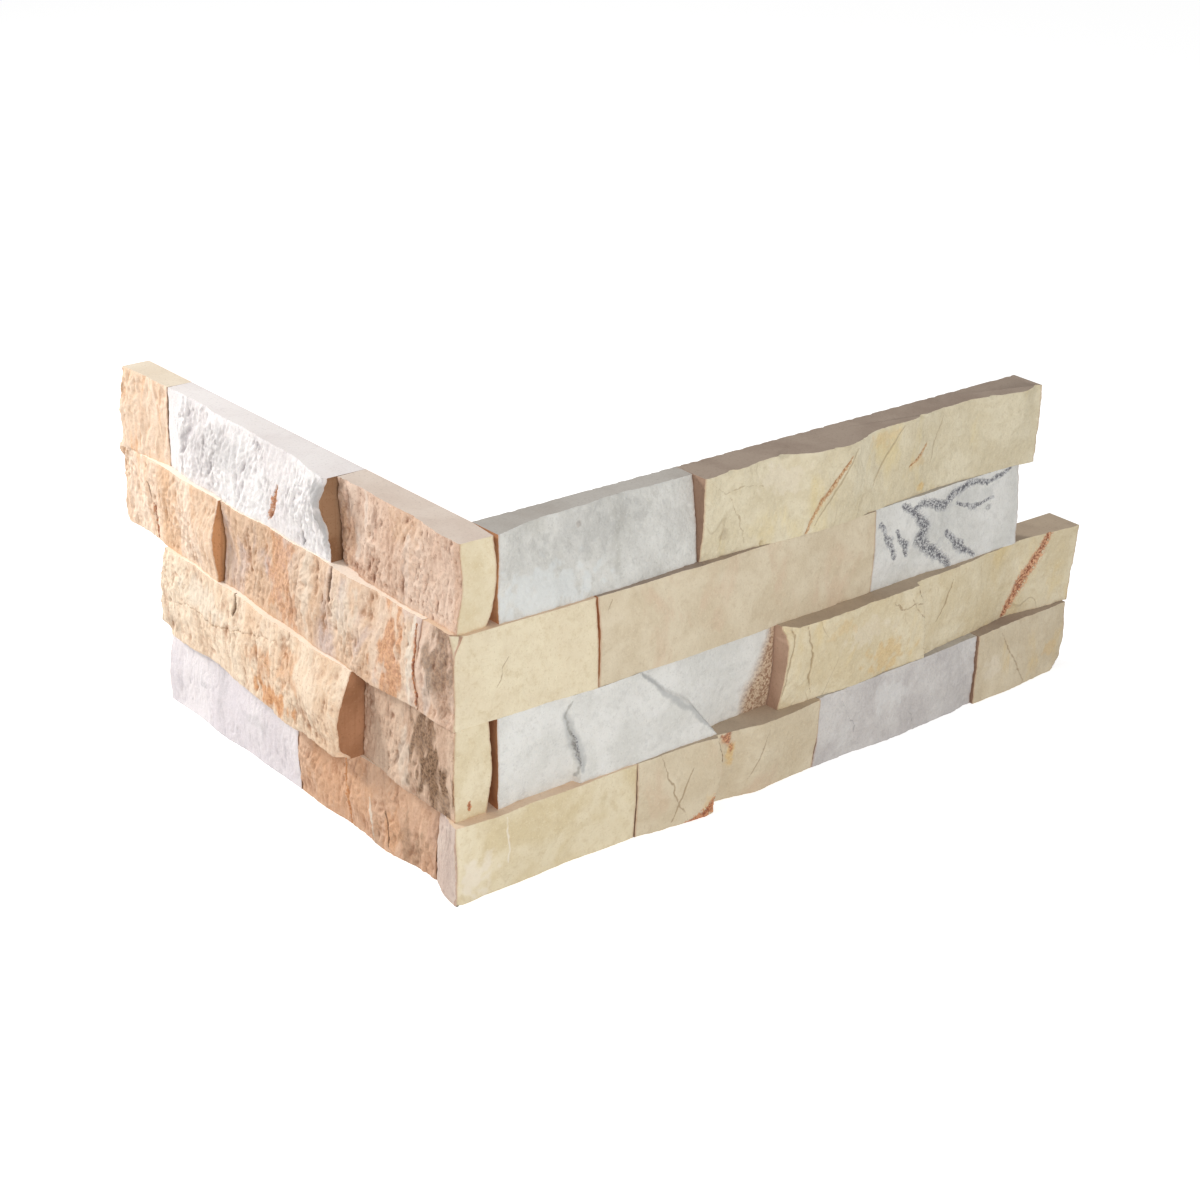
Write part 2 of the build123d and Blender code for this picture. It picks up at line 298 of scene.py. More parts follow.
def surface_detail(part, split, u, z, d, edge, seed):
    """Relief and colour marks of one riven face, hammer-split or a natural cleft, at its grid of places.

    edge is the distance to the nearer bed. lines are (mark, width, depth of groove, points), patches
    (mark, u, z, half width, half height, share) and chips (u, z, half width, half height, depth, or
    less than 0 where the stone bulges)."""
    strength = part.get("strength", 1.0)
    relief = (split_relief if split else cleft_relief)(u, z, d, seed, part.get("tilt", 0.1))
    if split:
        rough = 0.55 + 0.6 * step(-0.5, 0.6, noise(u / 17.0, z / 26.0, 0.2, seed + 41))
        for cu, width, share in part.get("smooth", ()):
            rough = rough * (1 - share * step(1.0, 0.4, np.abs(u - cu) / width))
        relief = relief * rough * (0.45 + 0.55 * step(0.0, 3.5, edge))
    marks = {k: np.zeros(u.shape) for k in MARKS}
    # crest follows the relief; from it the face material paints shade into the hollows and a highlight
    # onto the crests.
    marks["crest"] = np.clip(0.5 + (0.55 if split else 0.9) * relief, 0, 1)
    lift = strength * (relief - (0.25 if split else 0.05))
    wander = 0.9 * noise(u / 5.0, z / 5.0, 0.3, seed + 31) + 0.4 * noise(u / 1.6, z / 1.6, 0.3, seed + 32)
    for kind, width, groove, line in part.get("lines", ()):
        away, share = to_line(u + wander, z + wander, line)
        taper = width * (0.55 + 0.45 * np.sin(np.pi * np.clip(share, 0.02, 0.98)))
        fading = np.clip(1 - away / (LINE_REACH * taper), 0, 1)
        marks[kind + "_line"] = np.maximum(marks[kind + "_line"], fading)
        lift = lift - groove * (1 - step(0.3, 1.6, away / taper))
    blur = 0.75 * fractal(u / 4.5, z / (10.0 if split else 5.0), 0.7, 3, seed + 33)
    for kind, cu, cz, ru, rz, share in part.get("patches", ()):
        away = np.hypot((u - cu) / ru, (z - cz) / rz) + blur
        marks[kind] = np.maximum(marks[kind], share * step(1.1, 0.55, away))
    for cu, cz, ru, rz, deep in part.get("chips", ()):
        away = np.hypot((u - cu) / ru, (z - cz) / rz) + 0.3 * blur
        lift = lift - deep * step(1.0, 0.15, away)
    return lift, marks


def make_stone(node, stone, seed):
    wing = wing_of(node)
    other = "short" if wing == "long" else "long"
    axis, cross = (0, 1) if wing == "long" else (1, 0)
    size = WEAR[wing]
    tree = tree_of(node)
    lo, hi = (Vector(v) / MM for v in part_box(node))
    foot, head = lo.z, hi.z
    inner = np.linspace(foot + 0.5, head - 0.5, int((head - foot) / STEP[wing]))
    levels = np.concatenate([[foot, foot + 0.2], inner, [head - 0.2, head]])
    probe = np.clip(levels, foot + SKIN, head - SKIN)
    flat = np.ones(len(levels))
    near, far = lo[axis] * flat, hi[axis] * flat

    def along_end(key):
        """Depth lost or joint opened along an end, given in mm at even steps from foot to head."""
        values = stone.get(key, (0.0, 0.0))
        return np.interp(levels, np.linspace(foot, head, len(values)), values)

    def upright(grid):
        """Heights of a grid of rows and columns."""
        return np.repeat(levels[:, None], grid.shape[1], 1)

    def face(side, part, first, last, loss_first, loss_last, s):
        """One riven face between two places (a value per row each): places, depths and marks."""
        count = max(6, int(abs(np.mean(last) - np.mean(first)) / STEP[side]))
        inner_share = np.linspace(0, 1, count + 1)
        share = np.concatenate([[0, 0.3 / count], inner_share[1:-1], [1 - 0.3 / count, 1]])[None, :]
        u = first[:, None] + (last - first)[:, None] * share
        z = np.repeat(probe[:, None], u.shape[1], 1)
        inside = u + np.where(share < 0.5, 0.05, -0.05) * np.sign((last - first)[:, None])
        d = soften(depth_grid(tree, side, inside, z))
        edge = np.minimum(head - levels, levels - foot)[:, None] + 0 * u
        lift, marks = surface_detail(part, side == "short", u, z, d, edge, s)
        loss = worn(ragged(u, s, size), head - levels[:, None] + 0 * u)
        loss = np.maximum(loss, worn(ragged(u, s + 50, size), levels[:, None] - foot + 0 * u))
        from_first, from_last = np.abs(u - first[:, None]), np.abs(last[:, None] - u)
        loss = np.maximum(loss, worn(loss_first[:, None], from_first))
        loss = np.maximum(loss, worn(loss_last[:, None], from_last))
        marks["rim"] = 1 - step(0.1, 0.9, np.minimum(from_first, from_last))
        return u, np.minimum(d + lift - loss, LIMIT[side]), marks

    end_near = ragged(levels, seed + 70, size) + along_end("near_loss")
    end_far = ragged(levels, seed + 90, size) + along_end("far_loss")
    gap_near = JOINT + JOINT_WANDER * np.abs(noise(levels / 7.0, seed, 0.3, 5)) + along_end("near_gap")
    gap_far = JOINT + JOINT_WANDER * np.abs(noise(levels / 7.0, seed, 0.8, 6)) + along_end("far_gap")
    at_corner = stone.get("lap") or stone.get("turned")
    back_near = world(wing, 0 * flat if at_corner else near, 0 * flat, levels)
    back_far = world(wing, far, 0 * flat, levels)
    if stone.get("lap"):
        # The end that shows on the other wing comes first, then the main face; both meet at a corner.
        corner = outer_line(node, probe, (-1, -1))
        joint = outer_line(node, probe, (-1, 1) if wing == "long" else (1, -1))
        loss_corner = ragged(levels, seed + 60, size) + along_end("corner_loss")
        start = joint[:, cross] - gap_near
        u_end, d_end, marks_end = face(
            other, stone["lap"], start, corner[:, cross], end_near, loss_corner, seed + 200)
        u_main, d_main, marks_main = face(
            wing, stone, corner[:, axis], far - gap_far, loss_corner, end_far, seed)
        end_points = world(other, u_end, d_end, upright(u_end))
        main_points = world(wing, u_main, d_main, upright(u_main))
        meet = end_points[:, -1].copy()
        meet[:, cross] = main_points[:, 0, cross]
        end_points[:, -1] = meet
        outer = np.concatenate([end_points, main_points[:, 1:]], 1)
        marks = {k: np.concatenate([marks_end[k], marks_main[k][:, 1:]], 1) for k in MARKS}
        kinds = [LAP] * (u_end.shape[1] - 1) + [FACE] * (u_main.shape[1] - 1)
    else:
        if stone.get("turned"):
            near = outer_line(node, probe, (-1, -1))[:, axis]
        u, d, marks = face(wing, stone, near + gap_near, far - gap_far, end_near, end_far, seed)
        outer = world(wing, u, d, upright(u))
        kinds = [FACE] * (u.shape[1] - 1)

    def sawn(a, b, gap):
        """Places on a sawn face between two upright edges, ends left out."""
        count = max(2, int(np.linalg.norm(b[0] - a[0]) / gap))
        share = np.linspace(0, 1, count + 1)[1:-1][None, :, None]
        return a[:, None] + (b - a)[:, None] * share

    side_far = sawn(outer[:, -1], back_far, SAWN_STEP)
    side_near = sawn(back_near, outer[:, 0], SAWN_STEP)
    back = sawn(back_far, back_near, NICKED_STEP if stone.get("nicked") else SAWN_STEP)
    if stone.get("nicked"):
        nick = np.clip(noise(back[..., axis] / 3.6, 0.2, 0.1, seed + 40) + 0.1, 0, 1)
        at_head = step(1.2, 0.0, head - levels)[:, None]
        back[..., cross] -= 1.2 * nick * at_head
    loops = np.concatenate([outer, side_far, back_far[:, None], back, back_near[:, None], side_near], 1)
    for kind, part in ((END, side_far), (BED, back), (END, side_near)):
        kinds += [kind] * (part.shape[1] + 1)
    extra = {}
    for k in MARKS:
        extra[k] = np.zeros(loops.shape[:2])
        extra[k][:, : outer.shape[1]] = marks[k]
    piece = build_piece("stone_" + node, loops, kinds, extra)
    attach(piece, "root")
    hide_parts(node)
    return piece


# Node shorthand for the materials.
def linear(r, g, b):
    """Colour as seen on screen, 0 to 255, made linear."""
    out = []
    for v in (r, g, b):
        v /= 255.0
        out.append(v / 12.92 if v <= 0.04045 else ((v + 0.055) / 1.055) ** 2.4)
    return (*out, 1.0)


class Graph:
    def __init__(self, name):
        self.material = bpy.data.materials.new(name)
        self.material.use_nodes = True
        self.tree = self.material.node_tree
        self.tree.nodes.clear()
        self.place = self.add("ShaderNodeTexCoord").outputs["Object"]

    def add(self, kind, **inputs):
        node = self.tree.nodes.new(kind)
        for key, value in inputs.items():
            self.set(node.inputs[key], value)
        return node

    def set(self, socket, value):
        if isinstance(value, bpy.types.NodeSocket):
            self.tree.links.new(value, socket)
        else:
            socket.default_value = value

    def noise(self, size_mm, detail=3.0, rough=0.55, stretch=(1, 1, 1), distort=0.0, offset=0.0):
        mapping = self.add("ShaderNodeMapping")
        self.set(mapping.inputs["Vector"], self.place)
        mapping.inputs["Scale"].default_value = stretch
        node = self.tree.nodes.new("ShaderNodeTexNoise")
        node.noise_dimensions = "4D"
        self.set(node.inputs["Vector"], mapping.outputs["Vector"])
        node.inputs["W"].default_value = offset
        node.inputs["Scale"].default_value = 1000.0 / size_mm
        node.inputs["Detail"].default_value = detail
        node.inputs["Roughness"].default_value = rough
        node.inputs["Distortion"].default_value = distort
        return node.outputs["Fac"]

    def ramp(self, value, lo, hi, low=0.0, high=1.0):
        node = self.tree.nodes.new("ShaderNodeMapRange")
        node.interpolation_type = "SMOOTHSTEP"
        self.set(node.inputs["Value"], value)
        node.inputs["From Min"].default_value = lo
        node.inputs["From Max"].default_value = hi
        node.inputs["To Min"].default_value = low
        node.inputs["To Max"].default_value = high
        return node.outputs["Result"]

    def mix(self, share, a, b):
        node = self.tree.nodes.new("ShaderNodeMix")
        node.data_type = "RGBA"
        self.set(node.inputs["Factor"], share)
        self.set(node.inputs["A"], a)
        self.set(node.inputs["B"], b)
        return node.outputs["Result"]

    def maths(self, kind, a, b=0.0):
        node = self.tree.nodes.new("ShaderNodeMath")
        node.operation = kind
        self.set(node.inputs[0], a)
        self.set(node.inputs[1], b)
        return node.outputs[0]

    def mark(self, name):
        node = self.tree.nodes.new("ShaderNodeAttribute")
        node.attribute_name = name
        return node.outputs["Fac"]

    def output(self, shader):
        out = self.add("ShaderNodeOutputMaterial")
        self.tree.links.new(shader, out.inputs["Surface"])
        return self.material

    def stone(self, colour, roughness, height, bump_mm, soft):
        bump = self.add("ShaderNodeBump", Height=height)
        bump.inputs["Strength"].default_value = 1.0
        bump.inputs["Distance"].default_value = bump_mm * MM
        shader = self.add("ShaderNodeBsdfPrincipled", Roughness=roughness)
        self.set(shader.inputs["Base Color"], colour)
        self.set(shader.inputs["Normal"], bump.outputs["Normal"])
        shader.inputs["Specular IOR Level"].default_value = 0.25
        shader.inputs["Subsurface Weight"].default_value = soft
        shader.inputs["Subsurface Radius"].default_value = (0.002, 0.0016, 0.0012)
        return self.output(shader.outputs[0])


def face_material(name, look, split, seed):
    """A riven face: clouded colour, grain, and the marks laid on the mesh."""
    g = Graph(name)
    tall = (1, 1, 0.3) if split else (1, 1, 1)
    clouds = g.noise(24, 3, 0.6, tall, 0.5, seed)
    fine = g.noise(4.5, 4, 0.65, tall, 0.3, seed + 3.3)
    specks = g.noise(1.0, 2, 0.6, (1, 1, 1), 0, seed + 6.1)
    pale, mid, deep = (linear(*look[k]) for k in ("pale", "mid", "deep"))
    colour = g.mix(g.ramp(clouds, 0.38, 0.62), pale, mid)
    if "streak" in look:
        band = g.noise(look.get("streak_mm", 15), 2, 0.5, (1, 1, 0.12), 0.8, seed + 8.8)
        band = g.ramp(band, 0.54, 0.66, 0.0, look.get("streaks", 0.7))
        colour = g.mix(band, colour, linear(*look["streak"]))
    if "patch" in look:
        spot = g.noise(19, 3, 0.6, (1, 1, 0.5), 0.5, seed + 5.5)
        spot = g.ramp(spot, 0.53, 0.68, 0.0, look.get("patches", 0.6))
        colour = g.mix(spot, colour, linear(*look["patch"]))
    if split:
        # Painted shade in the hollows of the relief, and a painted highlight on its crests.
        hollow_shade = g.ramp(g.mark("crest"), 0.0, 0.55, 0.9, 0.0)
        colour = g.mix(hollow_shade, colour, deep)
        colour = g.mix(g.ramp(fine, 0.50, 0.72, 0.0, 0.6), colour, deep)
        colour = g.mix(g.ramp(g.mark("crest"), 0.62, 1.0, 0.0, 0.6), colour, pale)
    else:
        colour = g.mix(g.ramp(fine, 0.46, 0.74, 0.0, 0.5), colour, deep)
    colour = g.mix(g.ramp(specks, 0.56, 0.7, 0.0, 0.5 if split else 0.4), colour, deep)
    colour = g.mix(g.ramp(specks, 0.44, 0.30, 0.0, 0.65), colour, pale)
    if "hair" in look:
        # Hairlines that run through the stone here and there.
        web = g.noise(40, 2, 0.5, (1, 1, 0.6), 0.4, seed + 12.4)
        away = g.maths("ABSOLUTE", g.maths("SUBTRACT", web, 0.5))
        here = g.ramp(g.noise(26, 2, 0.5, (1, 1, 1), 0, seed + 13.1), 0.48, 0.58, 0.0, look["hair"])
        hair = g.maths("MULTIPLY", g.ramp(away, 0.006, 0.001), here)
        colour = g.mix(hair, colour, linear(*look.get("crack_mark", (150, 126, 94))))
    crumbs = g.noise(1.1, 3, 0.6, (1, 1, 1), 0, seed + 9.9)
    crumbly = g.ramp(crumbs, 0.42, 0.6)
    fray = g.maths("MULTIPLY", g.maths("SUBTRACT", crumbs, 0.5), 1.1)
    for kind, (cover, colours) in PAINTS.items():
        colours = look.get(kind + "_mark", colours)
        if isinstance(colours[0], tuple):
            paint = g.mix(crumbly, linear(*colours[0]), linear(*colours[1]))
        else:
            paint = linear(*colours)
        line = g.mark(kind + "_line")
        if kind in FRAYED:
            line = g.maths("ADD", line, fray)
        line = g.ramp(line, *LINE_EDGES.get(kind, LINE_EDGE))
        colour = g.mix(g.maths("MULTIPLY", g.maths("MAXIMUM", g.mark(kind), line), cover), colour, paint)
    rim = g.maths("MULTIPLY", g.mark("rim"), 0.45)
    colour = g.mix(rim, colour, linear(*look.get("rim_mark", (176, 124, 88))))
    grain = g.noise(1.9, 4, 0.65, tall, 0.0, seed + 2.2)
    height = g.maths("ADD", grain, g.maths("MULTIPLY", specks, 0.4))
    roughness = g.ramp(specks, 0.3, 0.7, 0.74, 0.9)
    soft = 0.06 if look.get("marble") else 0.03
    return g.stone(colour, roughness, height, 0.45 if split else 0.3, soft)


def sawn_material(name, light, dark, seed):
    """A sawn face: faint upright scratches and a stained cloud."""
    g = Graph(name)
    clouds = g.noise(22, 3, 0.55, (1, 1, 1), 0.3, seed)
    saw = g.noise(1.3, 2, 0.5, (1, 1, 0.06), 0.0, seed + 1.7)
    specks = g.noise(0.9, 2, 0.5, (1, 1, 1), 0, seed + 4.1)
    colour = g.mix(g.ramp(clouds, 0.35, 0.7), linear(*light), linear(*dark))
    colour = g.mix(g.ramp(saw, 0.5, 0.75, 0.0, 0.4), colour, linear(*dark))
    colour = g.mix(g.ramp(specks, 0.56, 0.7, 0.0, 0.45), colour, linear(*light))
    colour = g.mix(g.ramp(specks, 0.44, 0.3, 0.0, 0.35), colour, linear(*(0.88 * v for v in dark)))
    return g.stone(colour, 0.86, g.maths("ADD", saw, specks), 0.06, 0.02)


# Colours of the stones, as seen on screen.
YELLOW = ((228, 198, 142), (216, 180, 122))
CREAM = dict(pale=(234, 222, 194), mid=(222, 207, 174), deep=(205, 186, 150), orange_mark=YELLOW)
BEIGE = dict(
    pale=(224, 211, 186), mid=(214, 199, 172), deep=(198, 180, 152), patch=(216, 192, 166),
    orange_mark=YELLOW,
)
GREY_CREAM = dict(
    pale=(230, 220, 194), mid=(219, 207, 178), deep=(200, 186, 156), patch=(226, 208, 158),
    rust_mark=((168, 118, 78), (214, 184, 146)), orange_mark=YELLOW, hair=0.3, crack_mark=(172, 152, 120),
)
GREY_WHITE = dict(
    pale=(222, 221, 216), mid=(206, 205, 200), deep=(184, 183, 178), patch=(190, 188, 180),
    marble=True, crack_mark=(150, 148, 144), rim_mark=(186, 160, 140), pale_mark=(220, 223, 222),
)
WHITE = dict(
    pale=(232, 231, 227), mid=(220, 219, 214), deep=(198, 197, 193),
    marble=True, crack_mark=(150, 148, 142), rim_mark=(186, 160, 140), shade_mark=(168, 170, 170),
)
LILAC = dict(
    pale=(218, 214, 211), mid=(204, 199, 197), deep=(186, 181, 179),
    marble=True, crack_mark=(150, 148, 148), pale_mark=(226, 224, 222),
)
SPLIT_WHITE = dict(
    pale=(250, 246, 245), mid=(238, 232, 231), deep=(208, 201, 202),
    marble=True, crack_mark=(160, 156, 158), rim_mark=(206, 190, 180),
)
TAN = dict(pale=(240, 214, 190), mid=(226, 192, 162), deep=(192, 150, 120))
MAUVE = dict(
    TAN, patch=(218, 198, 190), patches=0.85, orange_mark=((224, 164, 114), (188, 118, 74)),
)
ROSY = dict(
    pale=(240, 214, 194), mid=(220, 186, 162), deep=(166, 120, 96), patch=(232, 196, 164),
    pale_mark=(236, 220, 206),
)
GOLD = dict(pale=(250, 226, 204), mid=(240, 210, 182), deep=(214, 174, 140), streak=(230, 186, 146))
DUSKY = dict(pale=(226, 198, 174), mid=(206, 174, 150), deep=(164, 126, 102), patch=(168, 134, 110))
AMBER = dict(pale=(228, 192, 164), mid=(214, 174, 144), deep=(186, 142, 114), patch=(200, 162, 140))
LILAC_WHITE = dict(SPLIT_WHITE, pale=(238, 232, 234), mid=(229, 222, 226), deep=(208, 201, 205))

# Sawn beds and ends: light and dark.
BEDS = {
    "cream": ((172, 155, 140), (156, 138, 124)),
    # A ledge bed on the long wing, made paler with painted light where the course above shades it.
    "light": ((232, 208, 182), (222, 192, 164)),
    # A ledge bed under an overhanging course, made paler with painted light where that course shades it.
    "sand": ((190, 172, 150), (174, 156, 136)),
    "grey": ((194, 189, 182), (178, 171, 163)),
    "white": ((246, 240, 238), (236, 228, 226)),
    "tan": ((234, 219, 206), (222, 204, 190)),
    # A ledge under the course above, made paler with painted light where that course shades it.
    "ledge": ((252, 240, 226), (244, 230, 212)),
    "pale": ((242, 228, 208), (232, 216, 194)),
}
ENDS = {
    "brown": ((164, 134, 114), (144, 114, 95)),
    "tan": ((182, 150, 126), (152, 116, 92)),
    "rose": ((200, 168, 146), (174, 142, 122)),
    "amber": ((198, 146, 104), (152, 102, 68)),
    "umber": ((178, 132, 100), (146, 102, 72)),
    "orange": ((214, 158, 116), (184, 122, 84)),
    # Brown sawn stone darkened further with painted shade, for an end that faces away from the left lamp.
    "dim": ((154, 120, 92), (124, 88, 60)),
}

